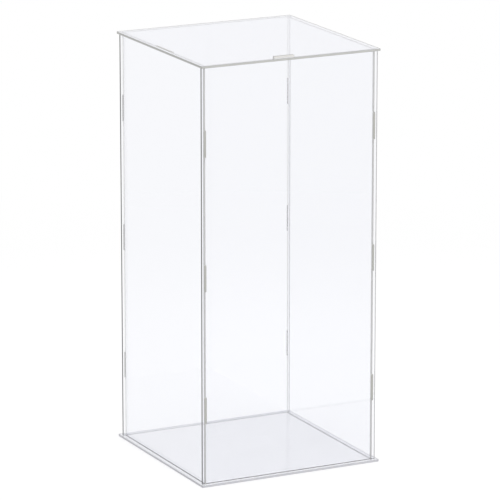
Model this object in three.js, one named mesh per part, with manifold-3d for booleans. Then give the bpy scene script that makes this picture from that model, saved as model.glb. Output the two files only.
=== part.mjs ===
// A tall pedestal display case made of six clear sheets: a base, four upright walls and a lid.
// The side walls' tabs pass through slots in the front and back walls, and the walls stand in a
// shallow groove in the base. Two slots in the lid drop over a tab on top of the front wall and one
// on top of the left wall. The front wall's top tab stands above the lid, and all others end flush.
//
// Millimetres, +Z up, +Y towards the back. The origin is the centre of the base's underside.

import * as THREE from "three";
import { mergeVertices } from "three/addons/utils/BufferGeometryUtils.js";
import Module from "manifold-3d";

const wasm = await Module();
wasm.setup();

// ---- Driving dimensions -------------------------------------------------------------------

const overallHeight = 600; // underside of the base to the top of the lid

// Sheet thicknesses
const baseSheet = 3;
const wallSheet = 3;
const lidSheet = 3;

// Plan sizes
const baseWidth = 280;
const baseDepth = 280;
const baseOverhang = 7; // of the base past the outer faces of the walls
const lidOverhang = 5.5; // of the lid past the outer faces of the walls
const lip = 3.5; // how far the front and back walls run past the side walls' outer faces

// Clearances
const fit = 0.3; // round each tab in its slot, and at each wall's side in the groove
const seat = 0.2; // under each piece that rests on another

// The groove that locates the walls on the base
const grooveDepth = 1;

// Tabs on the upright edges of the side walls: one at mid height and one near each end
const edgeTabLength = 38;
const edgeTabInset = 107; // from the wall's foot or top to the middle of the outer tabs

// Tabs on the top edges of the front wall and the left wall, each a little off centre
const frontTabLength = 32;
const frontTabOffset = -10; // along the wall, seen from outside, from its middle
const frontTabProud = 3; // how far this tab stands above the lid
const leftTabLength = 54;
const leftTabOffset = 6;

// Corner radii in the plane of the sheets
const plateCorner = 1.5;
const wallCorner = 0.6;
const tabCorner = 2;
const slotCorner = 0.4;

const arcSteps = 4; // straight steps in each rounded corner

// ---- Sizes that follow ----------------------------------------------------------------------

const wallFoot = baseSheet - grooveDepth + seat;
const lidUnderside = overallHeight - lidSheet;
const wallTop = lidUnderside - seat;
const wallHeight = wallTop - wallFoot;
const wallMiddle = (wallTop + wallFoot) / 2;

const wallsWidth = baseWidth - 2 * baseOverhang; // outer face of one side wall to the other
const wallsDepth = baseDepth - 2 * baseOverhang; // the same from front to back
const lidWidth = wallsWidth + 2 * lidOverhang;
const lidDepth = wallsDepth + 2 * lidOverhang;
const frontWidth = wallsWidth + 2 * lip; // the front and back walls, end to end
const frontPlane = (wallsDepth - wallSheet) / 2; // middle of the front sheet from the centre
const sidePlane = (wallsWidth - wallSheet) / 2;
const sideWidth = wallsDepth - 2 * (wallSheet + fit); // a side wall between its tabs' roots
const edgeTabReach = wallSheet + fit; // ends flush with the outer face of the wall it joins
const topTabReach = overallHeight - wallTop; // ends flush with the lid's top

const edgeTabHeights = [-1, 0, 1].map((step) => step * (wallHeight / 2 - edgeTabInset));

// ---- Outlines -------------------------------------------------------------------------------

// The four sides of a sheet, walked anticlockwise: the way along each, and the way out of it.
const bottomSide = { along: [1, 0], out: [0, -1] };
const rightSide = { along: [0, 1], out: [1, 0] };
const topSide = { along: [-1, 0], out: [0, 1] };
const leftSide = { along: [0, -1], out: [-1, 0] };
const sides = [bottomSide, rightSide, topSide, leftSide];

// A closed path through square corners given as { x, y, radius }, with an arc at each rounded one.
function roundedPath(corners, path = new THREE.Shape()) {
  corners.forEach((corner, index) => {
    const before = corners[(index + corners.length - 1) % corners.length];
    const after = corners[(index + 1) % corners.length];
    const arriving = [Math.sign(corner.x - before.x), Math.sign(corner.y - before.y)];
    const leaving = [Math.sign(after.x - corner.x), Math.sign(after.y - corner.y)];
    const draw = index === 0 ? "moveTo" : "lineTo";
    if (corner.radius === 0) {
      path[draw](corner.x, corner.y);
      return;
    }
    const startX = corner.x - arriving[0] * corner.radius;
    const startY = corner.y - arriving[1] * corner.radius;
    const clockwise = arriving[0] * leaving[1] - arriving[1] * leaving[0] < 0;
    path[draw](startX, startY);
    path.absarc(
      startX + leaving[0] * corner.radius,
      startY + leaving[1] * corner.radius,
      corner.radius,
      Math.atan2(-leaving[1], -leaving[0]),
      Math.atan2(arriving[1], arriving[0]),
      clockwise,
    );
  });
  path.closePath();
  return path;
}

// A rectangle about its own centre, with tabs standing out of its sides.
// A tab is { side, at, length, reach }, with at measured along x or y from the centre.
function sheetOutline(width, height, radius, tabs = []) {
  const corners = [];
  for (const side of sides) {
    const [alongX, alongY] = side.along;
    const [outX, outY] = side.out;
    const halfLength = (Math.abs(alongX) * width + Math.abs(alongY) * height) / 2;
    const halfAcross = (Math.abs(outX) * width + Math.abs(outY) * height) / 2;
    const addCorner = (distance, reach, cornerRadius) => {
      corners.push({
        x: alongX * distance + outX * (halfAcross + reach),
        y: alongY * distance + outY * (halfAcross + reach),
        radius: cornerRadius,
      });
    };
    addCorner(-halfLength, 0, radius);
    tabs
      .filter((tab) => tab.side === side)
      .map((tab) => ({ ...tab, middle: tab.at * (alongX + alongY) }))
      .sort((first, second) => first.middle - second.middle)
      .forEach((tab) => {
        const start = tab.middle - tab.length / 2;
        const end = tab.middle + tab.length / 2;
        const tipRadius = Math.min(tabCorner, tab.reach, tab.length / 2);
        addCorner(start, 0, 0);
        addCorner(start, tab.reach, tipRadius);
        addCorner(end, tab.reach, tipRadius);
        addCorner(end, 0, 0);
      });
  }
  return roundedPath(corners);
}

// A slot centred on (x, y) that takes a tab of the given size, with the fit all round.
function slotFor(x, y, tabWidth, tabHeight) {
  const halfWidth = tabWidth / 2 + fit;
  const halfHeight = tabHeight / 2 + fit;
  const corners = [
    [-1, -1],
    [1, -1],
    [1, 1],
    [-1, 1],
  ].map(([signX, signY]) => ({
    x: x + signX * halfWidth,
    y: y + signY * halfHeight,
    radius: Math.min(slotCorner, halfWidth, halfHeight),
  }));
  return roundedPath(corners, new THREE.Path());
}

// A sheet of the given outline, half its thickness each side of the outline's plane.
function cutSheet(outline, thickness) {
  const geometry = new THREE.ExtrudeGeometry(outline, {
    depth: thickness,
    bevelEnabled: false,
    curveSegments: arcSteps / 2, // an arc is cut into twice this many
  });
  return geometry.translate(0, 0, -thickness / 2);
}

// ---- Cutting one solid out of another ---------------------------------------------------------

function toSolid(geometry) {
  const bare = geometry.clone();
  bare.deleteAttribute("normal");
  bare.deleteAttribute("uv");
  const merged = mergeVertices(bare);
  return new wasm.Manifold(
    new wasm.Mesh({
      numProp: 3,
      vertProperties: merged.attributes.position.array,
      triVerts: new Uint32Array(merged.index.array),
    }),
  );
}

function toGeometry(solid) {
  const mesh = solid.getMesh();
  const geometry = new THREE.BufferGeometry();
  geometry.setAttribute("position", new THREE.BufferAttribute(mesh.vertProperties, 3));
  geometry.setIndex(new THREE.BufferAttribute(mesh.triVerts, 1));
  geometry.computeVertexNormals();
  return geometry;
}

// ---- Pieces -----------------------------------------------------------------------------------

function clearSheetMaterial(color, opacity) {
  return new THREE.MeshStandardMaterial({
    color,
    roughness: 0.06,
    metalness: 0,
    transparent: true,
    opacity,
  });
}

function namedMesh(name, geometry, material) {
  const mesh = new THREE.Mesh(geometry, material);
  mesh.name = name;
  return mesh;
}

// The base, with one straight run of groove under each wall.
function makeBase() {
  const plate = cutSheet(sheetOutline(baseWidth, baseDepth, plateCorner), baseSheet);
  const runs = [
    { x: 0, y: -frontPlane, width: frontWidth, depth: wallSheet },
    { x: 0, y: frontPlane, width: frontWidth, depth: wallSheet },
    { x: -sidePlane, y: 0, width: wallSheet, depth: sideWidth },
    { x: sidePlane, y: 0, width: wallSheet, depth: sideWidth },
  ];
  const cutterHeight = 2 * grooveDepth; // half of it stands above the plate
  let solid = toSolid(plate);
  for (const run of runs) {
    const cutter = new THREE.BoxGeometry(run.width + 2 * fit, run.depth + 2 * fit, cutterHeight);
    solid = solid.subtract(toSolid(cutter.translate(run.x, run.y, baseSheet / 2)));
  }
  const mesh = namedMesh("base_plate", toGeometry(solid), clearSheetMaterial(0xe9ebf3, 0.5));
  mesh.position.z = baseSheet / 2;
  return mesh;
}

// The tabs that the lid drops over.
const frontTopTab = {
  side: topSide,
  at: frontTabOffset,
  length: frontTabLength,
  reach: topTabReach + frontTabProud,
};
const leftTopTab = {
  side: topSide,
  at: leftTabOffset,
  length: leftTabLength,
  reach: topTabReach,
};

// The front and back walls, with a column of slots near each end for the side walls.
function makeFrontWall(name, topTabs) {
  const outline = sheetOutline(frontWidth, wallHeight, wallCorner, topTabs);
  for (const end of [-1, 1]) {
    for (const height of edgeTabHeights) {
      outline.holes.push(slotFor(end * sidePlane, height, wallSheet, edgeTabLength));
    }
  }
  return namedMesh(name, cutSheet(outline, wallSheet), clearSheetMaterial(0xf8f9fc, 0.3));
}

// The side walls, with a column of tabs down each upright edge.
function makeSideWall(name, topTabs) {
  const tabs = [...topTabs];
  for (const side of [leftSide, rightSide]) {
    for (const height of edgeTabHeights) {
      tabs.push({ side, at: height, length: edgeTabLength, reach: edgeTabReach });
    }
  }
  const outline = sheetOutline(sideWidth, wallHeight, wallCorner, tabs);
  return namedMesh(name, cutSheet(outline, wallSheet), clearSheetMaterial(0xf8f9fd, 0.3));
}

// The lid, with a slot over each top tab.
function makeLid() {
  const outline = sheetOutline(lidWidth, lidDepth, plateCorner);
  outline.holes.push(slotFor(frontTabOffset, -frontPlane, frontTabLength, wallSheet));
  outline.holes.push(slotFor(-sidePlane, -leftTabOffset, wallSheet, leftTabLength));
  const material = clearSheetMaterial(0xf5f6fa, 0.35);
  const mesh = namedMesh("lid_plate", cutSheet(outline, lidSheet), material);
  mesh.position.z = lidUnderside + lidSheet / 2;
  return mesh;
}

// Stands a wall upright on one side of the case. The turn is in quarter turns from the front,
// anticlockwise from above, and the plane is the middle of its sheet from the case's centre.
function standWall(wall, quarterTurns, plane) {
  wall.rotation.x = Math.PI / 2;
  wall.position.set(0, -plane, wallMiddle);
  const turned = new THREE.Group();
  turned.rotation.z = (quarterTurns * Math.PI) / 2;
  turned.add(wall);
  return turned;
}

// ---- Assembly ---------------------------------------------------------------------------------

const walls = new THREE.Group();
walls.add(standWall(makeFrontWall("front_panel", [frontTopTab]), 0, frontPlane));
walls.add(standWall(makeSideWall("right_panel", []), 1, sidePlane));
walls.add(standWall(makeFrontWall("back_panel", []), 2, frontPlane));
walls.add(standWall(makeSideWall("left_panel", [leftTopTab]), 3, sidePlane));

const displayCase = new THREE.Group();
displayCase.add(makeBase(), walls, makeLid());

export default displayCase;
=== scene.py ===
"""A tall display case of clear sheet, in a white studio.

The case has six sheets: a base, four upright walls and a lid. Every sheet is cut from flat stock,
so each has two polished faces, a satin cut edge all round, and a fine broken arris between them.
The side walls' tabs end flush with the front and back walls. The lid drops over a flush tab on the
left wall and over a tab on the front wall that stands proud of it. Lengths are in metres.
"""

import logging
import math
from dataclasses import dataclass, field
from enum import Enum
from typing import Callable, Iterable, Sequence

import bmesh
import bpy
from mathutils import Matrix, Vector
from mathutils.geometry import tessellate_polygon


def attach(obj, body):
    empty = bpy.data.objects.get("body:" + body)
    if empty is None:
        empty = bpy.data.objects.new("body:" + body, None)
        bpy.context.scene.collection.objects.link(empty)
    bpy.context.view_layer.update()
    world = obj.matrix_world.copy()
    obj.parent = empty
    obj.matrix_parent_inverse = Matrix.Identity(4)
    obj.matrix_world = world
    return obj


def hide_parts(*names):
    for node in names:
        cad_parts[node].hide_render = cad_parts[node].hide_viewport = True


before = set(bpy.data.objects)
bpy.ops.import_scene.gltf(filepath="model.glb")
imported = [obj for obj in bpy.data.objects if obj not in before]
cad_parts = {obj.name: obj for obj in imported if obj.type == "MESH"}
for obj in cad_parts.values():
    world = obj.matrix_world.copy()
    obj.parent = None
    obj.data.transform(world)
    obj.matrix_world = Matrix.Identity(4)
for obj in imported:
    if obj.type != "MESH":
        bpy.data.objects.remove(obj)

LOG = logging.getLogger("display_case")
MM = 0.001
CLEAR_IOR = 1.49
WHITE = (1.0, 1.0, 1.0, 1.0)

Point = tuple[float, float]
Spot = tuple[float, float, float]
Colour = tuple[float, float, float]
Ring = tuple[Sequence[Vector], float]
Socket = bpy.types.NodeSocket


# ---- Shader graphs ------------------------------------------------------------------------------


class Graph:
    """A node tree, with short ways to add nodes to it and to link them."""

    def __init__(self, tree: bpy.types.NodeTree) -> None:
        """Wraps a node tree.

        Args:
            tree: The tree that new nodes go into.
        """
        self.tree = tree

    def add(self, kind: str, inputs: dict | None = None, **settings: object) -> bpy.types.Node:
        """Adds one node.

        Args:
            kind: The node's class, without its leading ShaderNode.
            inputs: What goes into each input, by name or number: a socket or a plain value.
            **settings: The node's own properties.

        Returns:
            The new node.
        """
        node = self.tree.nodes.new("ShaderNode" + kind)
        for name, value in settings.items():
            setattr(node, name, value)
        for key, value in (inputs or {}).items():
            if isinstance(value, Socket):
                self.tree.links.new(value, node.inputs[key])
            else:
                node.inputs[key].default_value = value
        return node

    def math(self, operation: str, *values: Socket | float) -> Socket:
        """Adds a Math node.

        Args:
            operation: The node's operation.
            *values: Its inputs, in order.

        Returns:
            The node's result.
        """
        node = self.add("Math", dict(enumerate(values)), operation=operation)
        return node.outputs[0]

    def spread(self, value: Socket, source: Point, target: Point) -> Socket:
        """Maps one range of values smoothly on to another, and holds it at both ends.

        Args:
            value: What is mapped.
            source: The range that it comes from.
            target: The range that it goes to.

        Returns:
            The mapped value.
        """
        limits = {1: source[0], 2: source[1], 3: target[0], 4: target[1]}
        node = self.add("MapRange", {0: value, **limits}, interpolation_type="SMOOTHSTEP")
        return node.outputs["Result"]

    def noise(self, place: Socket, scale: float, detail: float = 2.0) -> Socket:
        """Adds a plain noise pattern.

        Args:
            place: The coordinates that it is read at.
            scale: Its repeats in each metre.
            detail: How many finer layers it holds.

        Returns:
            The pattern's value, about 0.5 on average.
        """
        inputs = {"Vector": place, "Scale": scale, "Detail": detail}
        return self.add("TexNoise", inputs).outputs[0]

    def tint(self, mask: Socket, low: Colour, high: Colour) -> Socket:
        """Fades between two colours.

        Args:
            mask: How far along the fade each point is, from 0 to 1.
            low: The colour at 0.
            high: The colour at 1.

        Returns:
            The faded colour.
        """
        return self.mix(mask, (*low, 1.0), (*high, 1.0))

    def mix(self, mask: Socket, low: Socket | tuple, high: Socket | tuple) -> Socket:
        """Mixes two colours, each a socket or four plain values.

        Args:
            mask: How much of the second there is, from 0 to 1.
            low: The colour at 0.
            high: The colour at 1.

        Returns:
            The mixed colour.
        """
        return self.add("Mix", {0: mask, 6: low, 7: high}, data_type="RGBA").outputs[2]


@dataclass(frozen=True)
class SocketPlan:
    """One socket on the outside of a node group.

    Attributes:
        name: The socket's name.
        kind: Its type, such as Float, Vector or Color.
        value: What an input holds where nothing is linked to it.
    """

    name: str
    kind: str
    value: float | None = None


def node_group(
    name: str,
    inputs: Sequence[SocketPlan],
    outputs: Sequence[SocketPlan],
    fill: Callable[[Graph, dict[str, Socket]], dict[str, Socket]],
) -> bpy.types.NodeTree:
    """Builds a shader node group, or returns it where it is built already.

    Args:
        name: The group's name.
        inputs: Its input sockets.
        outputs: Its output sockets.
        fill: Builds what is inside, from the input sockets, and gives each output's source.

    Returns:
        The node group.
    """
    if name in bpy.data.node_groups:
        return bpy.data.node_groups[name]
    tree = bpy.data.node_groups.new(name, "ShaderNodeTree")
    for plans, side in ((inputs, "INPUT"), (outputs, "OUTPUT")):
        for plan in plans:
            kind = "NodeSocket" + plan.kind
            made = tree.interface.new_socket(plan.name, in_out=side, socket_type=kind)
            if plan.value is not None:
                made.default_value = plan.value
    graph = Graph(tree)
    entry = tree.nodes.new("NodeGroupInput")
    leave = tree.nodes.new("NodeGroupOutput")
    sources = fill(graph, {plan.name: entry.outputs[plan.name] for plan in inputs})
    for key, source in sources.items():
        tree.links.new(source, leave.inputs[key])
    return tree


def hairline_layer(graph: Graph, place: Socket, turn: float, stretch: float) -> Socket:
    """Draws one layer of hairline scratches, in patches.

    Args:
        graph: The group that it goes into.
        place: The place on the sheet.
        turn: How far the layer is turned, in radians.
        stretch: How many times longer than wide its cells are.

    Returns:
        1 on a hairline and 0 elsewhere.
    """
    cells_per_metre = 30.0
    patches_per_metre = 9.0
    mapping = {"Vector": place, "Rotation": (turn, turn * 0.7, turn), "Scale": (1, 1, stretch)}
    turned = graph.add("Mapping", mapping).outputs[0]
    cell_inputs = {"Vector": turned, "Scale": cells_per_metre}
    cells = graph.add("TexVoronoi", cell_inputs, feature="DISTANCE_TO_EDGE")
    line = graph.spread(cells.outputs["Distance"], (0.0, 0.006), (1.0, 0.0))
    patches = graph.spread(graph.noise(turned, patches_per_metre), (0.56, 0.66), (0.0, 1.0))
    return graph.math("MULTIPLY", line, patches)


def wear_group() -> bpy.types.NodeTree:
    """Makes the marks of handling on polished sheet: hairlines, faint smears and dust.

    Returns:
        The node group.
    """
    specks_per_metre = 420.0
    dusty_per_metre = 60.0
    smears_per_metre = 14.0
    waves_per_metre = 7.0
    scratch_roughness = 0.2
    scratch_depth = -0.02

    def fill(graph: Graph, given: dict[str, Socket]) -> dict[str, Socket]:
        """Builds the marks from the place on the sheet.

        Args:
            graph: The inside of the group.
            given: The group's inputs.

        Returns:
            The source of each output.
        """
        place = given["Place"]
        first = hairline_layer(graph, place, 0.5, 9.0)
        second = hairline_layer(graph, place, 1.9, 14.0)
        hairlines = graph.math("MAXIMUM", first, second)
        specks = graph.add("TexVoronoi", {"Vector": place, "Scale": specks_per_metre}, feature="F1")
        dots = graph.spread(specks.outputs["Distance"], (0.05, 0.11), (1.0, 0.0))
        settled = graph.spread(graph.noise(place, dusty_per_metre), (0.58, 0.7), (0.0, 1.0))
        dust = graph.math("MULTIPLY", dots, settled)
        smears = graph.spread(graph.noise(place, smears_per_metre, 4.0), (0.5, 0.78), (0.0, 1.0))
        marks = graph.math("MULTIPLY", hairlines, given["Scratches"])
        rough = graph.math("MULTIPLY_ADD", smears, given["Smears"], given["Polish"])
        rough = graph.math("MULTIPLY_ADD", dust, given["Dust"], rough)
        rough = graph.math("MULTIPLY_ADD", marks, scratch_roughness, rough)
        waves = graph.noise(place, waves_per_metre, 1.0)
        cuts = graph.math("MULTIPLY", marks, scratch_depth)
        height = graph.math("MULTIPLY_ADD", waves, given["Waviness"], cuts)
        return {"Roughness": rough, "Height": height}

    return node_group(
        "polished_sheet_wear",
        [
            SocketPlan("Place", "Vector"),
            SocketPlan("Polish", "Float"),
            SocketPlan("Smears", "Float"),
            SocketPlan("Scratches", "Float"),
            SocketPlan("Dust", "Float"),
            SocketPlan("Waviness", "Float", 0.35),
        ],
        [SocketPlan("Roughness", "Float"), SocketPlan("Height", "Float")],
        fill,
    )


def cut_group() -> bpy.types.NodeTree:
    """Makes fine ribs and a chipped arris, as a cutter leaves them on an edge, and a middle band
    lighter than the bands by the faces.

    Returns:
        The node group.
    """
    across_step = 0.0008
    ribs_per_metre = 2600.0
    drift_per_metre = 45.0
    chips_per_metre = 700.0
    chip_depth = 0.07

    def fill(graph: Graph, given: dict[str, Socket]) -> dict[str, Socket]:
        """Builds the ribs from the run along the edge, and the bands from the place across it.

        Args:
            graph: The inside of the group.
            given: The group's inputs.

        Returns:
            The source of each output.
        """
        step = graph.math("MULTIPLY", given["Across"], across_step)
        along = graph.add("CombineXYZ", {0: given["Run"], 1: step}).outputs[0]
        ribs = graph.noise(along, ribs_per_metre, 2.0)
        drift = graph.noise(along, drift_per_metre, 3.0)
        middle = graph.math("ABSOLUTE", graph.math("SUBTRACT", given["Across"], 0.5))
        band = graph.spread(middle, (0.12, 0.46), (1.0, 0.0))
        low = graph.math("SUBTRACT", 0.5, given["Band"])
        tone = graph.math("MULTIPLY_ADD", band, given["Band"], low)
        tone = graph.math("MULTIPLY_ADD", graph.math("SUBTRACT", drift, 0.5), given["Drift"], tone)
        tone = graph.math("MULTIPLY_ADD", graph.math("SUBTRACT", ribs, 0.5), given["Ribs"], tone)
        chips = graph.math("SUBTRACT", graph.noise(along, chips_per_metre), 0.5)
        border = graph.math("MULTIPLY_ADD", chips, chip_depth, middle)
        arris = graph.spread(border, (0.422, 0.442), (0.0, 1.0))
        return {"Tone": tone, "Height": ribs, "Drift": drift, "Arris": arris}

    return node_group(
        "cut_edge_ribs",
        [
            SocketPlan("Run", "Float"),
            SocketPlan("Across", "Float"),
            SocketPlan("Band", "Float", 0.25),
            SocketPlan("Drift", "Float", 0.45),
            SocketPlan("Ribs", "Float", 0.9),
        ],
        [
            SocketPlan("Tone", "Float"),
            SocketPlan("Height", "Float"),
            SocketPlan("Drift", "Float"),
            SocketPlan("Arris", "Float"),
        ],
        fill,
    )


# ---- Finishes -----------------------------------------------------------------------------------


def new_material(name: str) -> tuple[bpy.types.Material, Graph]:
    """Makes an empty node material.

    Args:
        name: The material's name.

    Returns:
        The material, and the graph of its nodes.
    """
    material = bpy.data.materials.new(name)
    material.use_nodes = True
    material.node_tree.nodes.clear()
    return material, Graph(material.node_tree)


def pass_light(graph: Graph, seen: bpy.types.Node, shade: Colour) -> None:
    """Finishes a material that lets the studio's light through to what is behind it.

    Args:
        graph: The material's nodes.
        seen: The shader that is seen.
        shade: What it lets through of the light.
    """
    passing = graph.add("BsdfTransparent", {"Color": (*shade, 1.0)})
    rays = graph.add("LightPath")
    lit = graph.math("MAXIMUM", rays.outputs["Is Shadow Ray"], rays.outputs["Is Diffuse Ray"])
    both = graph.add("MixShader", {0: lit, 1: seen.outputs[0], 2: passing.outputs[0]})
    graph.add("OutputMaterial", {"Surface": both.outputs[0]})


def seen_rays(graph: Graph) -> Socket:
    """Tells the rays that show what is seen from those that only gather light.

    Args:
        graph: The material's or the world's nodes.

    Returns:
        1 for the first kind of ray and 0 for the second.
    """
    rays = graph.add("LightPath").outputs
    mirrored = graph.math("MAXIMUM", rays["Is Glossy Ray"], rays["Is Transmission Ray"])
    return graph.math("MAXIMUM", rays["Is Camera Ray"], mirrored)


@dataclass(frozen=True)
class ClearFace:
    """The polished face of a clear sheet.

    Attributes:
        name: The material's name.
        colour: What one thickness of the sheet lets through, to the eye.
        shade: What one face of the sheet lets through of the light that falls on what is behind.
        polish: Its roughness where it is clean.
        smears: How much the faint smears roughen it.
        dust: How much the dust roughens it.
        scratches: How strong its hairlines are.
    """

    name: str
    colour: Colour
    shade: Colour
    polish: float = 0.012
    smears: float = 0.02
    dust: float = 0.25
    scratches: float = 0.45

    def build(self) -> bpy.types.Material:
        """Makes the material.

        Returns:
            Clear, slightly worn sheet that lets the studio's light through.
        """
        material, graph = new_material(self.name)
        marks = {
            "Place": graph.add("TexCoord").outputs["Object"],
            "Polish": self.polish,
            "Smears": self.smears,
            "Scratches": self.scratches,
            "Dust": self.dust,
        }
        wear = graph.add("Group", marks, node_tree=wear_group())
        bump = graph.add(
            "Bump",
            {"Height": wear.outputs["Height"], "Strength": 0.35, "Distance": 0.00005},
        )
        glass = graph.add(
            "BsdfPrincipled",
            {
                "Base Color": (*self.colour, 1.0),
                "Roughness": wear.outputs["Roughness"],
                "Normal": bump.outputs[0],
                "IOR": CLEAR_IOR,
                "Transmission Weight": 1.0,
            },
        )
        pass_light(graph, glass, self.shade)
        return material


@dataclass(frozen=True)
class CutEdge:
    """The satin cut edge of a clear sheet, which looks grey against the polished faces.

    Attributes:
        name: The material's name.
        dark: Its colour in its darker bands.
        light: Its colour in its brighter bands.
        inside: How many times lighter its colour is painted where it is seen from inside the clear
            sheet: painted light above 1, painted shade below 1.
        gloss: How strongly it mirrors its surroundings, 0.5 for clear plastic.
        roughness: How satin it is, on average.
        arris: How bright its broken arris is painted, against its darker bands: a painted highlight
            above 1, a painted dark line below 1.
        shade: What it lets through of the light that falls on what is behind.
    """

    name: str
    dark: Colour
    light: Colour
    inside: float = 1.0
    gloss: float = 0.5
    roughness: float = 0.3
    arris: float = 0.5
    shade: Colour = (0.85, 0.85, 0.86)

    def build(self) -> bpy.types.Material:
        """Makes the material.

        Returns:
            A satin grey edge with fine ribs across it.
        """
        material, graph = new_material(self.name)
        place = {
            "Run": graph.add("Attribute", attribute_name=Sheet.RUN).outputs["Fac"],
            "Across": graph.add("Attribute", attribute_name=Sheet.ACROSS).outputs["Fac"],
        }
        cut = graph.add("Group", place, node_tree=cut_group())
        bump = graph.add(
            "Bump",
            {"Height": cut.outputs["Height"], "Strength": 0.7, "Distance": 0.00004},
        )
        swing = 0.2
        low = self.roughness - swing / 2
        rough = graph.math("MULTIPLY_ADD", cut.outputs["Drift"], swing, low)
        outer = graph.tint(cut.outputs["Tone"], self.dark, self.light)
        # Seen from inside the sheet (backfacing), the edge's colour is scaled by inside: painted
        # light where it is above 1, painted shade where below.
        dark = self._times(self.dark, self.inside)
        light = self._times(self.light, self.inside)
        inner = graph.tint(cut.outputs["Tone"], dark, light)
        behind = graph.add("NewGeometry").outputs["Backfacing"]
        # The broken arris is painted its own tone: a painted highlight where arris is above 1, a
        # painted dark line where below; its ragged border is the chipping.
        rim = (*self._times(self.dark, self.arris), 1.0)
        colour = graph.mix(cut.outputs["Arris"], graph.mix(behind, outer, inner), rim)
        satin = graph.add(
            "BsdfPrincipled",
            {
                "Base Color": colour,
                "Roughness": rough,
                "Normal": bump.outputs[0],
                "IOR": CLEAR_IOR,
                "Specular IOR Level": self.gloss,
            },
        )
        pass_light(graph, satin, self.shade)
        return material

    @staticmethod
    def _times(colour: Colour, factor: float) -> Colour:
        """A colour made so many times lighter, and never quite white."""
        red, green, blue = (min(0.95, part * factor) for part in colour)
        return red, green, blue


# ---- Sheets -------------------------------------------------------------------------------------


class Surface(Enum):
    """The kinds of surface on a cut sheet, in the order of its material slots."""

    FACE = 0
    EDGE = 1
    END = 2
    SLOT = 3
    TAB_END = 4
    PROUD = 5
    GROOVE = 6
    FOOT = 7
    CLEAR_CUT = 8


@dataclass(frozen=True)
class Corner:
    """A corner of a sheet's outline.

    Attributes:
        x: Its place across the sheet.
        y: Its place up the sheet.
        radius: How much it is rounded.
        opens: The surface of the edge that runs from this corner to the next.
    """

    x: float
    y: float
    radius: float = 0.0
    opens: Surface = Surface.EDGE


@dataclass
class Loop:
    """A closed line of points, with the sheet's material on its left.

    Attributes:
        points: The points, in order.
        surfaces: The surface of the edge that starts at each point.
    """

    points: list[Vector]
    surfaces: list[Surface]

    @classmethod
    def rounded(cls, corners: Sequence[Corner], steps: int = 8) -> "Loop":
        """Rounds the corners of an outline.

        Args:
            corners: The outline's corners, in order.
            steps: The straight steps in each rounded corner.

        Returns:
            The rounded outline.
        """
        points: list[Vector] = []
        surfaces: list[Surface] = []
        for index, corner in enumerate(corners):
            here = Vector((corner.x, corner.y))
            before = corners[index - 1]
            after = corners[(index + 1) % len(corners)]
            arriving = (here - Vector((before.x, before.y))).normalized()
            leaving = (Vector((after.x, after.y)) - here).normalized()
            count = steps if corner.radius > 0 else 0
            # A tab's large rounded corners share its end's finish, and its small roots don't.
            tip = Surface.TAB_END in (before.opens, corner.opens) and corner.radius > 1 * MM
            for step in range(count + 1):
                if count == 0:
                    points.append(here.copy())
                else:
                    quarter = math.pi / 2 * step / count
                    centre = here + (leaving - arriving) * corner.radius
                    reach = arriving * math.sin(quarter) - leaving * math.cos(quarter)
                    points.append(centre + reach * corner.radius)
                last = step == count
                surfaces.append(corner.opens if last or not tip else Surface.TAB_END)
        return cls(points, surfaces)

    def inset(self, distance: float) -> list[Vector]:
        """Moves the line into the material.

        Args:
            distance: How far it moves.

        Returns:
            The moved points, in the same order.
        """
        moved: list[Vector] = []
        for index, here in enumerate(self.points):
            before = self.points[index - 1]
            after = self.points[(index + 1) % len(self.points)]
            arriving = (here - before).normalized()
            leaving = (after - here).normalized()
            first = Vector((-arriving.y, arriving.x))
            second = Vector((-leaving.y, leaving.x))
            mitre = (first + second) / (1 + first.dot(second))
            moved.append(here + mitre * distance)
        return moved

    def runs(self) -> list[float]:
        """Measures along the line.

        Returns:
            The distance to each point, and last the whole way round.
        """
        total = [0.0]
        for index, here in enumerate(self.points):
            after = self.points[(index + 1) % len(self.points)]
            total.append(total[-1] + (after - here).length)
        return total


def box_loop(
    width: float,
    height: float,
    centre: Point = (0.0, 0.0),
    radius: float = 0.0,
    hole: bool = False,
    surface: Surface = Surface.EDGE,
) -> Loop:
    """Draws a rectangle.

    Args:
        width: Its size across the sheet.
        height: Its size up the sheet.
        centre: Its centre.
        radius: How much its corners are rounded.
        hole: True if it is cut out of the sheet.
        surface: The surface of the edge along it.

    Returns:
        The rectangle, with the material on its left.
    """
    signs = [(-1, -1), (1, -1), (1, 1), (-1, 1)]
    if hole:
        signs.reverse()
    corners = [
        Corner(centre[0] + sx * width / 2, centre[1] + sy * height / 2, radius, surface)
        for sx, sy in signs
    ]
    return Loop.rounded(corners)


@dataclass(frozen=True)
class Tab:
    """A tab on one side of a sheet.

    Attributes:
        side: The side that it stands out of: 0 for the bottom, then anticlockwise.
        at: Its middle along that side, measured along x or y from the sheet's centre.
        length: Its length along the side.
        reach: How far it stands out.
        clear: True if its cut edges are polished clear.
    """

    side: int
    at: float
    length: float
    reach: float
    clear: bool = False


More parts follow.
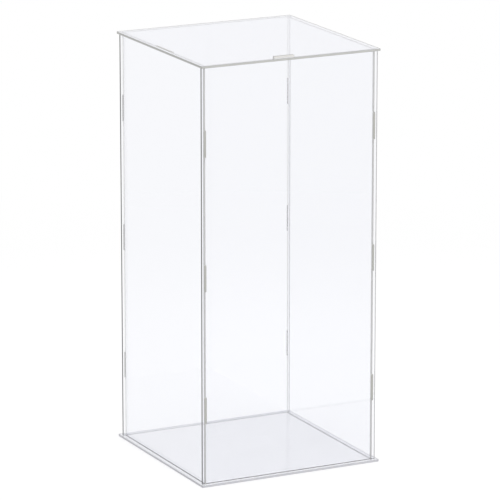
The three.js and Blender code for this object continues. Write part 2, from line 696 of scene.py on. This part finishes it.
def tabbed_loop(
    width: float, height: float, radius: float, tabs: Iterable[Tab], tip_radius: float
) -> Loop:
    """Draws a rectangle with tabs on its sides.

    Args:
        width: The rectangle's size across the sheet.
        height: Its size up the sheet.
        radius: How much its corners are rounded.
        tabs: The tabs.
        tip_radius: How much the tabs' corners are rounded.

    Returns:
        The outline of the sheet.
    """
    # For each side, from the bottom anticlockwise: the way along it, the way out of it, and what
    # its plain edge is.
    ways = [((1, 0), (0, -1)), ((0, 1), (1, 0)), ((-1, 0), (0, 1)), ((0, -1), (-1, 0))]
    plains = [Surface.FOOT, Surface.END, Surface.EDGE, Surface.END]
    root = 0.25 * MM
    corners: list[Corner] = []
    for side, ((along, out), plain_edge) in enumerate(zip(ways, plains)):
        half = (abs(along[0]) * width + abs(along[1]) * height) / 2
        edge = (abs(out[0]) * width + abs(out[1]) * height) / 2
        way = along[0] + along[1]
        turns = [(-half, 0.0, radius, plain_edge)]
        for tab in sorted((t for t in tabs if t.side == side), key=lambda t: t.at * way):
            start = tab.at * way - tab.length / 2
            end = tab.at * way + tab.length / 2
            flank = Surface.CLEAR_CUT if tab.clear else Surface.SLOT
            tip = Surface.CLEAR_CUT if tab.clear else Surface.TAB_END
            turns += [
                (start, 0.0, root, flank),
                (start, tab.reach, tip_radius, tip),
                (end, tab.reach, tip_radius, flank),
                (end, 0.0, root, plain_edge),
            ]
        for distance, reach, rounding, opens in turns:
            x = along[0] * distance + out[0] * (edge + reach)
            y = along[1] * distance + out[1] * (edge + reach)
            corners.append(Corner(x, y, rounding, opens))
    return Loop.rounded(corners)


class Sheet:
    """A mesh in the making: flat caps and upright bands between loops, stood in the case.

    Attributes:
        RUN: The mesh attribute that holds the place along an edge.
        ACROSS: The one that holds the place across it, from 0 at one face to 1 at the other.
        SLIVER: The area under which a triangle is left out.
        WELD: How near to each other points are joined.
        SHARP_FROM: The bend, in degrees, from which an edge is sharp.
    """

    RUN = "edge_run"
    ACROSS = "edge_across"
    SLIVER = 1e-14
    WELD = 0.001 * MM
    SHARP_FROM = 30.0

    def __init__(
        self,
        name: str,
        stand: Matrix,
        arris: float = 0.2 * MM,
        proud_from: float | None = None,
    ) -> None:
        """Starts an empty sheet.

        Args:
            name: The piece's name.
            stand: Takes the sheet's own x, y and thickness to their place in the case.
            arris: The width of the broken edge between a face and a cut edge.
            proud_from: The height above which the sheet stands proud of the lid, or None.
        """
        self.name = name
        self.stand = stand
        self.arris = arris
        self.proud_from = proud_from
        self.points: list[Vector] = []
        self.faces: list[tuple[int, ...]] = []
        self.slots: list[int] = []
        self.runs: list[tuple[float, ...]] = []
        self.across: list[tuple[float, ...]] = []

    def _ring(self, points: Sequence[Vector], z: float) -> int:
        """Adds a ring of points.

        Args:
            points: The points on the sheet.
            z: Their height.

        Returns:
            The number of the first one.
        """
        first = len(self.points)
        self.points.extend(Vector((p.x, p.y, z)) for p in points)
        return first

    def _face(
        self,
        corners: tuple[int, ...],
        slot: Surface,
        runs: Sequence[float],
        across: Sequence[float],
    ) -> None:
        """Adds one face.

        Args:
            corners: The numbers of its corners.
            slot: Its surface.
            runs: The place of each corner along the edge.
            across: The place of each corner across the edge.
        """
        self.faces.append(corners)
        self.slots.append(slot.value)
        self.runs.append(tuple(runs))
        self.across.append(tuple(across))

    def band(self, loop: Loop, low: Ring, high: Ring, share: Point) -> None:
        """Joins two rings by a band of four-sided faces that looks away from the sheet.

        Args:
            loop: The loop that both rings follow.
            low: The lower ring's points and height.
            high: The upper ring's points and height.
            share: The place of both rings across the edge, from 0 to 1.
        """
        bottom = self._ring(*low)
        top = self._ring(*high)
        count = len(loop.points)
        runs = loop.runs()
        for index in range(count):
            after = (index + 1) % count
            corners = (bottom + index, bottom + after, top + after, top + index)
            ends = (runs[index], runs[index + 1], runs[index + 1], runs[index])
            across = (share[0], share[0], share[1], share[1])
            self._face(corners, loop.surfaces[index], ends, across)

    def edge(self, loop: Loop, low: float, high: float) -> None:
        """Adds a cut edge with an arris along both faces.

        Args:
            loop: The line of the edge.
            low: The height of the lower face.
            high: The height of the upper face.
        """
        a = self.arris
        near = loop.inset(a)
        share = a / (high - low)
        self.band(loop, (near, low), (loop.points, low + a), (0.0, share))
        self.band(loop, (loop.points, low + a), (loop.points, high - a), (share, 1 - share))
        self.band(loop, (loop.points, high - a), (near, high), (1 - share, 1.0))

    def cap(
        self, outlines: Sequence[Sequence[Vector]], z: float, up: bool, surface: Surface
    ) -> None:
        """Fills a flat region between an outline and the holes in it.

        Args:
            outlines: The outline, and then each hole.
            z: The height of the region.
            up: True if it looks up.
            surface: Its surface.
        """
        flat = [Vector((p.x, p.y, 0.0)) for outline in outlines for p in outline]
        first = self._ring(flat, z)
        loops = [[Vector((p.x, p.y, 0.0)) for p in outline] for outline in outlines]
        for a, b, c in tessellate_polygon(loops):
            area = (flat[b] - flat[a]).cross(flat[c] - flat[a]).z
            if abs(area) < self.SLIVER:
                continue
            corners = (a, b, c) if (area > 0) == up else (a, c, b)
            self._face(tuple(first + i for i in corners), surface, (0.0,) * 3, (0.5,) * 3)

    def slab(self, outlines: Sequence[Loop], thickness: float) -> None:
        """Adds a whole sheet between two faces.

        Args:
            outlines: The outline, and then each slot.
            thickness: The sheet's thickness, half of it on each side of z = 0.
        """
        half = thickness / 2
        for loop in outlines:
            self.edge(loop, -half, half)
        near = [loop.inset(self.arris) for loop in outlines]
        self.cap(near, half, True, Surface.FACE)
        self.cap(near, -half, False, Surface.FACE)

    def build(self, finishes: dict[Surface, bpy.types.Material]) -> bpy.types.Object:
        """Makes the object.

        Args:
            finishes: The material of each surface.

        Returns:
            The sheet, stood in its place in the case.
        """
        mesh = bpy.data.meshes.new(self.name)
        mesh.from_pydata([self.stand @ p for p in self.points], [], self.faces)
        for surface in Surface:
            mesh.materials.append(finishes.get(surface, finishes[Surface.EDGE]))
        mesh.polygons.foreach_set("material_index", self.slots)
        for name, values in ((self.RUN, self.runs), (self.ACROSS, self.across)):
            data = mesh.attributes.new(name, "FLOAT", "CORNER").data
            data.foreach_set("value", [v for corners in values for v in corners])
        piece = bpy.data.objects.new(self.name, mesh)
        bpy.context.scene.collection.objects.link(piece)
        self._weld(mesh)
        return piece

    def _weld(self, mesh: bpy.types.Mesh) -> None:
        """Joins the bands and caps where they meet, and keeps every real edge sharp.

        Args:
            mesh: The sheet's mesh.
        """
        work = bmesh.new()
        work.from_mesh(mesh)
        bmesh.ops.remove_doubles(work, verts=work.verts, dist=self.WELD)
        if self.proud_from is not None:
            self._mark_proud(work, self.proud_from)
        work.to_mesh(mesh)
        work.free()
        mesh.shade_smooth()
        mesh.set_sharp_from_angle(angle=math.radians(self.SHARP_FROM))
        mesh.update()

    @staticmethod
    def _mark_proud(work: bmesh.types.BMesh, height: float) -> None:
        """Cuts the faces at the height where a tab comes out of the lid, and marks those above.

        Args:
            work: The mesh that is being edited.
            height: The height of the lid's top.
        """
        parts = [*work.verts, *work.edges, *work.faces]
        bmesh.ops.bisect_plane(work, geom=parts, plane_co=(0, 0, height), plane_no=(0, 0, 1))
        for face in work.faces:
            buried = face.calc_center_median().z < height
            if not buried and face.material_index != Surface.TAB_END.value:
                face.material_index = Surface.PROUD.value


# ---- The case -----------------------------------------------------------------------------------


@dataclass(frozen=True)
class CaseSizes:
    """The sizes that the pieces share.

    Attributes:
        height: From the underside of the base to the top of the lid.
        sheet: The thickness of every sheet.
        base_side: The length of each side of the base.
        lid_side: The length of each side of the lid.
        walls_side: From the outer face of one wall to that of the wall opposite.
        lip: How far the front and back walls run past the side walls.
        fit: The gap round each tab in its slot.
        groove: The depth of the groove in the base.
        foot_gap: The gap under the walls' feet and over their tops.
        tab_radius: How much the tabs' corners are rounded.
        edge_tab: The length of the tabs down the side walls.
        edge_tab_inset: From a wall's foot or top to the middle of the nearest of those tabs.
        front_tab: The length of the front wall's top tab.
        front_tab_at: The middle of that tab, from the middle of the wall.
        front_tab_proud: How far that tab stands above the lid.
        left_tab: The length of the left wall's top tab.
        left_tab_at: The middle of that tab, from the middle of the wall, seen from outside.
    """

    height: float = 600 * MM
    sheet: float = 3 * MM
    base_side: float = 280 * MM
    lid_side: float = 277 * MM
    walls_side: float = 266 * MM
    lip: float = 3.5 * MM
    fit: float = 0.1 * MM
    groove: float = 1 * MM
    foot_gap: float = 0.2 * MM
    tab_radius: float = 2 * MM
    edge_tab: float = 38 * MM
    edge_tab_inset: float = 107 * MM
    front_tab: float = 32 * MM
    front_tab_at: float = -10 * MM
    front_tab_proud: float = 3 * MM
    left_tab: float = 54 * MM
    left_tab_at: float = 6 * MM

    @property
    def wall_foot(self) -> float:
        """The height of the walls' feet."""
        return self.sheet - self.groove + self.foot_gap

    @property
    def wall_top(self) -> float:
        """The height of the walls' tops, under the lid."""
        return self.height - self.sheet - self.foot_gap

    @property
    def wall_height(self) -> float:
        """The height of a wall without its top tab."""
        return self.wall_top - self.wall_foot

    @property
    def plane(self) -> float:
        """From the case's centre to the middle of each wall's sheet."""
        return (self.walls_side - self.sheet) / 2

    @property
    def front_width(self) -> float:
        """The width of the front and back walls."""
        return self.walls_side + 2 * self.lip

    @property
    def edge_tab_heights(self) -> list[float]:
        """The middles of the edge tabs, from the middle of the wall."""
        return [step * (self.wall_height / 2 - self.edge_tab_inset) for step in (-1, 0, 1)]


@dataclass
class Base:
    """The base: a flat sheet with a shallow groove that the walls stand in.

    Attributes:
        sizes: The sizes that the pieces share.
        face: The finish of its faces.
        edge: The finish of its cut edge.
        groove: The finish of the groove.
        corner_radius: How much its corners are rounded.
        groove_clearance: The gap between the groove and the walls, on each side.
    """

    sizes: CaseSizes
    face: bpy.types.Material
    edge: bpy.types.Material
    groove: bpy.types.Material
    corner_radius: float = 1.5 * MM
    groove_clearance: float = 0.3 * MM

    def build(self) -> bpy.types.Object:
        """Makes the base and puts it in place of its plain solid.

        Returns:
            The base plate.
        """
        s = self.sizes
        sheet = Sheet("base_sheet", Matrix.Identity(4))
        outline = box_loop(s.base_side, s.base_side, radius=self.corner_radius)
        sheet.edge(outline, 0.0, s.sheet)
        near = outline.inset(sheet.arris)
        sheet.cap([near], 0.0, False, Surface.FACE)
        outer = self._groove_outline()
        inner_side = 2 * (s.plane - s.sheet / 2 - self.groove_clearance)
        inner = box_loop(inner_side, inner_side, surface=Surface.GROOVE)
        bottom = s.sheet - s.groove
        for loop in (outer, inner):
            sheet.band(loop, (loop.points, bottom), (loop.points, s.sheet), (0.0, 1.0))
        sheet.cap([near, outer.points], s.sheet, True, Surface.FACE)
        sheet.cap([inner.points], s.sheet, True, Surface.FACE)
        sheet.cap([outer.points, inner.points], bottom, True, Surface.GROOVE)
        piece = sheet.build(
            {Surface.FACE: self.face, Surface.EDGE: self.edge, Surface.GROOVE: self.groove}
        )
        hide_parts("base_plate")
        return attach(piece, "base")

    def _groove_outline(self) -> Loop:
        """Draws the outer line of the groove, which also takes the front and back walls' lips.

        Returns:
            The line, with the base's rim on its left.
        """
        s = self.sizes
        gap = self.groove_clearance
        side = s.walls_side / 2 + gap
        end = s.front_width / 2 + gap
        lip = s.walls_side / 2 - s.sheet - gap
        quarter = [(end, -side), (end, -lip), (side, -lip), (side, lip), (end, lip), (end, side)]
        ring = quarter + [(-x, -y) for x, y in quarter]
        corners = [Corner(x, y, 0.0, Surface.GROOVE) for x, y in reversed(ring)]
        return Loop.rounded(corners)


@dataclass
class Walls:
    """The four upright walls, which lift off the base as one.

    Attributes:
        sizes: The sizes that the pieces share.
        face: The finish of their faces.
        edge: The finish of their top edges.
        foot: The finish of their feet, painted dark grey and darkest from inside the sheet: painted
            shade in the seam over the groove.
        front_end: The finish of the upright ends of the front and back walls: painted near black as
            painted shade, and much lighter from inside the sheet as painted light.
        side_end: The finish of the upright ends of the side walls.
        slot: The finish inside the slots and along the sides of the tabs.
        tab_end: The finish of the tabs' ends.
        proud: The finish of the front tab where it stands above the lid.
        corner_radius: How much the walls' corners are rounded.
        slot_radius: How much the slots' corners are rounded.
    """

    sizes: CaseSizes
    face: bpy.types.Material
    edge: bpy.types.Material
    foot: bpy.types.Material
    front_end: bpy.types.Material
    side_end: bpy.types.Material
    slot: bpy.types.Material
    tab_end: bpy.types.Material
    proud: bpy.types.Material
    corner_radius: float = 0.6 * MM
    slot_radius: float = 0.4 * MM

    def _stand(self, quarter_turns: int) -> Matrix:
        """Takes an upright sheet to one side of the case.

        Args:
            quarter_turns: The quarter turns from the front, anticlockwise from above.

        Returns:
            The sheet's place.
        """
        s = self.sizes
        upright = Matrix.Rotation(math.pi / 2, 4, "X")
        out = Matrix.Translation((0.0, -s.plane, (s.wall_top + s.wall_foot) / 2))
        return Matrix.Rotation(quarter_turns * math.pi / 2, 4, "Z") @ out @ upright

    def _finish(self, sheet: Sheet, node: str, end: bpy.types.Material) -> bpy.types.Object:
        """Makes a wall's object and puts it in place of its plain solid.

        Args:
            sheet: The wall's sheet.
            node: The plain solid that it stands for.
            end: The finish of its upright ends.

        Returns:
            The wall.
        """
        piece = sheet.build(
            {
                Surface.FACE: self.face,
                Surface.EDGE: self.edge,
                Surface.FOOT: self.foot,
                Surface.END: end,
                Surface.SLOT: self.slot,
                Surface.TAB_END: self.tab_end,
                Surface.PROUD: self.proud,
                Surface.CLEAR_CUT: self.face,
            }
        )
        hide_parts(node)
        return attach(piece, "cover")

    def front(
        self,
        name: str,
        node: str,
        quarter_turns: int,
        top_tabs: Sequence[Tab] = (),
        clear_end: int | None = None,
    ) -> bpy.types.Object:
        """Makes a front or back wall, with its column of slots near each end.

        Args:
            name: The piece's name.
            node: The plain solid that it stands for.
            quarter_turns: Its side of the case.
            top_tabs: The tabs on its top edge.
            clear_end: The end whose slots are polished clear, -1 or 1, or None.

        Returns:
            The wall.
        """
        s = self.sizes
        width = s.front_width
        outline = tabbed_loop(width, s.wall_height, self.corner_radius, top_tabs, s.tab_radius)
        slots = [
            box_loop(
                s.sheet + 2 * s.fit,
                s.edge_tab + 2 * s.fit,
                (end * s.plane, height),
                self.slot_radius,
                hole=True,
                surface=Surface.CLEAR_CUT if end == clear_end else Surface.SLOT,
            )
            for end in (-1, 1)
            for height in s.edge_tab_heights
        ]
        proud_from = s.height if top_tabs else None
        sheet = Sheet(name, self._stand(quarter_turns), proud_from=proud_from)
        sheet.slab([outline, *slots], s.sheet)
        return self._finish(sheet, node, self.front_end)

    def side(
        self,
        name: str,
        node: str,
        quarter_turns: int,
        top_tabs: Sequence[Tab] = (),
        clear_side: int | None = None,
    ) -> bpy.types.Object:
        """Makes a side wall, with its tabs down both upright edges.

        Args:
            name: The piece's name.
            node: The plain solid that it stands for.
            quarter_turns: Its side of the case.
            top_tabs: The tabs on its top edge.
            clear_side: The side whose tabs are polished clear, 1 or 3, or None.

        Returns:
            The wall.
        """
        s = self.sizes
        tabs = list(top_tabs)
        root = 0.3 * MM
        for side in (1, 3):
            for height in s.edge_tab_heights:
                tabs.append(Tab(side, height, s.edge_tab, s.sheet + root, side == clear_side))
        width = s.walls_side - 2 * (s.sheet + root)
        outline = tabbed_loop(width, s.wall_height, self.corner_radius, tabs, s.tab_radius)
        sheet = Sheet(name, self._stand(quarter_turns))
        sheet.slab([outline], s.sheet)
        return self._finish(sheet, node, self.side_end)

    def build(self) -> list[bpy.types.Object]:
        """Makes all four walls.

        Returns:
            The walls, from the front anticlockwise.
        """
        s = self.sizes
        flush = s.height - s.wall_top
        front_tab = Tab(2, s.front_tab_at, s.front_tab, flush + s.front_tab_proud)
        left_tab = Tab(2, s.left_tab_at, s.left_tab, flush)
        # The corner furthest from the camera has its tabs and slots cut clear, so they hardly show.
        return [
            self.front("front_sheet", "front_panel", 0, [front_tab]),
            self.side("right_sheet", "right_panel", 1, clear_side=1),
            self.front("back_sheet", "back_panel", 2, clear_end=-1),
            self.side("left_sheet", "left_panel", 3, [left_tab]),
        ]


@dataclass
class Lid:
    """The lid: a flat sheet with a slot over the front wall's tab and one over the left wall's.

    Attributes:
        sizes: The sizes that the pieces share.
        face: The finish of its faces.
        edge: The finish of its cut edge.
        slot: The finish inside its slots.
        corner_radius: How much its corners are rounded.
        slot_radius: How much the slots' corners are rounded.
    """

    sizes: CaseSizes
    face: bpy.types.Material
    edge: bpy.types.Material
    slot: bpy.types.Material
    corner_radius: float = 1.5 * MM
    slot_radius: float = 0.4 * MM

    def build(self) -> bpy.types.Object:
        """Makes the lid and puts it in place of its plain solid.

        Returns:
            The lid.
        """
        s = self.sizes
        stand = Matrix.Translation((0.0, 0.0, s.height - s.sheet / 2))
        sheet = Sheet("lid_sheet", stand)
        outline = box_loop(s.lid_side, s.lid_side, radius=self.corner_radius)
        gap = 2 * s.fit
        slots = [
            box_loop(width + gap, depth + gap, place, self.slot_radius, True, Surface.SLOT)
            for width, depth, place in (
                (s.front_tab, s.sheet, (s.front_tab_at, -s.plane)),
                (s.sheet, s.left_tab, (-s.plane, -s.left_tab_at)),
            )
        ]
        sheet.slab([outline, *slots], s.sheet)
        piece = sheet.build(
            {Surface.FACE: self.face, Surface.EDGE: self.edge, Surface.SLOT: self.slot}
        )
        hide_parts("lid_plate")
        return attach(piece, "lid")


# ---- The studio ---------------------------------------------------------------------------------


@dataclass(frozen=True)
class SoftBox:
    """A large soft lamp.

    Attributes:
        name: The lamp's name.
        place: Where it stands.
        aim: The point that it faces.
        side: The length of its sides.
        power: Its power in watts.
    """

    name: str
    place: Spot
    aim: Spot
    side: float
    power: float

    def build(self) -> bpy.types.Object:
        """Hangs the lamp.

        Returns:
            The lamp.
        """
        lamp = bpy.data.lights.new(self.name, "AREA")
        lamp.shape = "SQUARE"
        lamp.size = self.side
        lamp.energy = self.power
        holder = bpy.data.objects.new(self.name, lamp)
        holder.location = self.place
        way = Vector(self.aim) - Vector(self.place)
        holder.rotation_euler = way.to_track_quat("-Z", "Y").to_euler()
        holder.visible_camera = False
        holder.visible_transmission = False
        bpy.context.scene.collection.objects.link(holder)
        return holder


@dataclass
class Studio:
    """The white floor, the soft lamps, the pale surroundings and the camera.

    Attributes:
        floor_radius: The radius of the floor.
        floor_sides: The number of straight sides that its rim has.
        floor_drop: How far the floor lies under the base.
        floor_albedo: How much light its paint gives back.
        floor_grain: How much that varies from grain to grain.
        floor_grains_per_metre: How fine its grain is.
        floor_lift: How much light it adds, to the eye alone, so that it looks white.
        floor_fade: The distances from the case between which it turns to plain white.
        surround: How strongly the surroundings light the case.
        lamps: The soft lamps.
        camera_place: Where the camera stands.
        camera_yaw: How far it is turned to the right of straight ahead, in degrees.
        camera_pitch: How far it looks down, in degrees.
        camera_focal_px: Its focal length, in pixels of the picture.
        camera_sensor: The width of its sensor, in millimetres.
        camera_clip: The nearest and the furthest distance that it sees.
        frame_px: The width of the picture, in pixels.
    """

    floor_radius: float = 8.0
    floor_sides: int = 96
    floor_drop: float = 0.4 * MM
    floor_albedo: float = 0.8
    floor_grain: float = 0.01
    floor_grains_per_metre: float = 900.0
    floor_lift: float = 0.3
    floor_fade: Point = (0.7, 1.6)
    surround: float = 0.6
    lamps: list[SoftBox] = field(
        default_factory=lambda: [
            SoftBox("key_softbox", (0.9, -3.3, 1.9), (0.0, 0.0, 0.3), 2.2, 45.0),
            SoftBox("top_softbox", (-0.3, 0.4, 3.2), (0.0, 0.0, 0.0), 3.0, 30.0),
        ]
    )
    camera_place: Spot = (-2.48388, -4.96223, 1.70928)
    camera_yaw: float = 26.63
    camera_pitch: float = 14.295
    camera_focal_px: float = 4021.66
    camera_sensor: float = 36.0
    camera_clip: Point = (0.1, 200.0)
    frame_px: float = 500.0

    def _floor(self) -> bpy.types.Object:
        """Lays a round white floor that keeps the case's soft shadow.

        Returns:
            The floor.
        """
        count = self.floor_sides
        mesh = bpy.data.meshes.new("studio_floor")
        rim = [
            (self.floor_radius * math.cos(a), self.floor_radius * math.sin(a), -self.floor_drop)
            for a in (2 * math.pi * i / count for i in range(count))
        ]
        mesh.from_pydata(rim, [], [tuple(range(count))])
        mesh.materials.append(self._floor_material())
        floor = bpy.data.objects.new("studio_floor", mesh)
        bpy.context.scene.collection.objects.link(floor)
        return floor

    def _floor_material(self) -> bpy.types.Material:
        """Makes the floor matt white near the case, and plain white further off.

        Returns:
            The paint.
        """
        material, graph = new_material("studio_floor_paint")
        place = graph.add("TexCoord").outputs["Object"]
        grain = graph.noise(place, self.floor_grains_per_metre, 3.0)
        low = (self.floor_albedo - self.floor_grain,) * 3
        high = (self.floor_albedo + self.floor_grain,) * 3
        paint_colour = graph.tint(grain, low, high)
        paint = graph.add("BsdfDiffuse", {"Color": paint_colour})
        lift = graph.add("Emission", {"Color": WHITE, "Strength": self.floor_lift})
        lifted = graph.add("AddShader", {0: paint.outputs[0], 1: lift.outputs[0]})
        white = graph.add("Emission", {"Color": WHITE, "Strength": 1.0})
        distance = graph.add("VectorMath", {0: place}, operation="LENGTH").outputs["Value"]
        far = graph.spread(distance, self.floor_fade, (0.0, 1.0))
        seen = graph.add("MixShader", {0: far, 1: lifted.outputs[0], 2: white.outputs[0]})
        looks = seen_rays(graph)
        both = graph.add("MixShader", {0: looks, 1: paint.outputs[0], 2: seen.outputs[0]})
        graph.add("OutputMaterial", {"Surface": both.outputs[0]})
        return material

    def _surroundings(self) -> None:
        """Makes the world pale for light, and white to the eye."""
        world = bpy.data.worlds.new("studio")
        bpy.context.scene.world = world
        world.use_nodes = True
        world.node_tree.nodes.clear()
        graph = Graph(world.node_tree)
        looks = seen_rays(graph)
        dim = graph.add("Background", {"Color": WHITE, "Strength": self.surround})
        white = graph.add("Background", {"Color": WHITE, "Strength": 1.0})
        both = graph.add("MixShader", {0: looks, 1: dim.outputs[0], 2: white.outputs[0]})
        graph.add("OutputWorld", {"Surface": both.outputs[0]})

    def _camera(self) -> bpy.types.Object:
        """Stands the camera where the photograph was taken from.

        Returns:
            The camera.
        """
        data = bpy.data.cameras.new("camera")
        data.sensor_width = self.camera_sensor
        data.sensor_fit = "HORIZONTAL"
        data.lens = self.camera_focal_px * self.camera_sensor / self.frame_px
        data.clip_start, data.clip_end = self.camera_clip
        camera = bpy.data.objects.new("camera", data)
        camera.location = self.camera_place
        camera.rotation_euler = (
            math.radians(90.0 - self.camera_pitch),
            0.0,
            -math.radians(self.camera_yaw),
        )
        bpy.context.scene.collection.objects.link(camera)
        bpy.context.scene.camera = camera
        return camera

    def build(self) -> None:
        """Sets up the whole studio."""
        bpy.context.scene.view_settings.view_transform = "Standard"
        self._surroundings()
        self._floor()
        for lamp in self.lamps:
            lamp.build()
        self._camera()


# ---- Putting it together ------------------------------------------------------------------------


def main() -> None:
    """Builds the case and the studio."""
    logging.basicConfig(level=logging.INFO, format="%(name)s: %(message)s")
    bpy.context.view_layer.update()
    sizes = CaseSizes()
    wall_face = ClearFace("clear_wall_face", (0.963, 0.967, 0.984), (0.96, 0.96, 0.965)).build()
    lid_face = ClearFace("clear_lid_face", (0.915, 0.92, 0.96), (0.96, 0.96, 0.965)).build()
    # The base is tinted darker than the walls: partly the sheet's own faint blue tint, partly
    # painted shade, so that the floor seen through it inside the case looks darker.
    base_face = ClearFace(
        "clear_base_face", (0.912, 0.917, 0.943), (0.97, 0.97, 0.98), polish=0.09
    ).build()
    # All the cut edges are one satin grey finish. The different dark and light tones of the wall,
    # end, lid, slot, base and foot edges are partly that grey and partly painted light and shade,
    # set for how bright each edge looks where it stands.
    wall_edge = CutEdge("wall_cut_edge", (0.4, 0.4, 0.4), (0.66, 0.66, 0.66), inside=1.2).build()
    # The front and back walls' ends are painted near black as painted shade, and over five times
    # lighter from inside the sheet as painted light.
    front_end = CutEdge(
        "front_wall_end", (0.1, 0.1, 0.1), (0.18, 0.18, 0.18), inside=5.4, gloss=0.15, arris=2.0
    ).build()
    side_end = CutEdge(
        "side_wall_end", (0.5, 0.5, 0.49), (0.7, 0.7, 0.69), inside=1.35, arris=0.7
    ).build()
    lid_edge = CutEdge(
        "lid_cut_edge", (0.45, 0.45, 0.43), (0.7, 0.7, 0.68), inside=0.85, gloss=0.35
    ).build()
    slot = CutEdge(
        "slot_wall", (0.66, 0.66, 0.645), (0.86, 0.86, 0.84), inside=1.15, arris=0.9
    ).build()
    base_edge = CutEdge("base_cut_edge", (0.55, 0.55, 0.59), (0.73, 0.73, 0.77)).build()
    tab_end = CutEdge("tab_end", (0.42, 0.42, 0.4), (0.6, 0.6, 0.565), inside=1.9).build()
    proud = CutEdge("proud_tab_face", (0.76, 0.745, 0.72), (0.9, 0.885, 0.86)).build()
    # The walls' feet are painted dark grey, and darker still from inside the sheet: painted shade
    # for the seam over the groove.
    wall_foot = CutEdge(
        "wall_foot", (0.2, 0.2, 0.21), (0.38, 0.38, 0.39), inside=0.35, arris=0.7
    ).build()
    groove = ClearFace(
        "milled_groove", (0.95, 0.955, 0.97), (0.96, 0.96, 0.97), polish=0.15, smears=0.1, dust=0.1
    ).build()
    Studio().build()
    pieces = [
        Base(sizes, base_face, base_edge, groove).build(),
        *Walls(
            sizes, wall_face, wall_edge, wall_foot, front_end, side_end, slot, tab_end, proud
        ).build(),
        Lid(sizes, lid_face, lid_edge, slot).build(),
    ]
    for piece in pieces:
        LOG.info("%s: %d faces", piece.name, len(piece.data.polygons))


if __name__ == "__main__":
    main()
